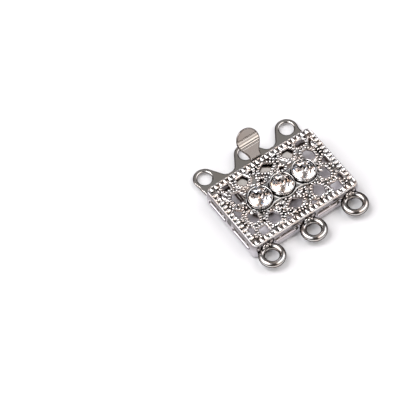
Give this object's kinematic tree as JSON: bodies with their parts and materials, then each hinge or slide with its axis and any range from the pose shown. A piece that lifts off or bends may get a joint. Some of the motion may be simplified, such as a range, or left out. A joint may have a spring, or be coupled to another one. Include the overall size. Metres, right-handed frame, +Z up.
{
  "type": "box clasp",
  "caption": "Pierced rectangular box clasp for several strands, with round loops, set stones and a folded spring tongue with ears.",
  "frame": {"origin": "under the middle of the whole clasp, on the surface that it lies on", "axes": "+X along the box and its three strands, +Y the way the tongue is drawn out, +Z up out of the stones"},
  "size_m": [0.0192, 0.0208, 0.0066],
  "materials": {
    "bright_plating": "bright plated casting",
    "sheet_plating": "plated polished sheet",
    "clear_stone": "clear cut stone, foiled behind"
  },
  "bodies": {
    "box": {"box_shell": "bright_plating", "stone_left": "clear_stone", "stone_middle": "clear_stone", "stone_right": "clear_stone"},
    "tongue": {"tongue_plate": "sheet_plating"},
    "leaf": {"spring_leaf": "sheet_plating"}
  },
  "joints": [
    {"name": "tongue_slide", "type": "slide", "parent": "box", "child": "tongue", "axis": [0, 1, 0], "range_m": [0, 0.012]},
    {"name": "leaf_press", "type": "hinge", "parent": "tongue", "child": "leaf", "pos_m": [0, -0.00146, 0.00095], "axis": [-1, 0, 0], "range_deg": [0, 4], "stiffness_Nm_per_rad": 0.3}
  ]
}
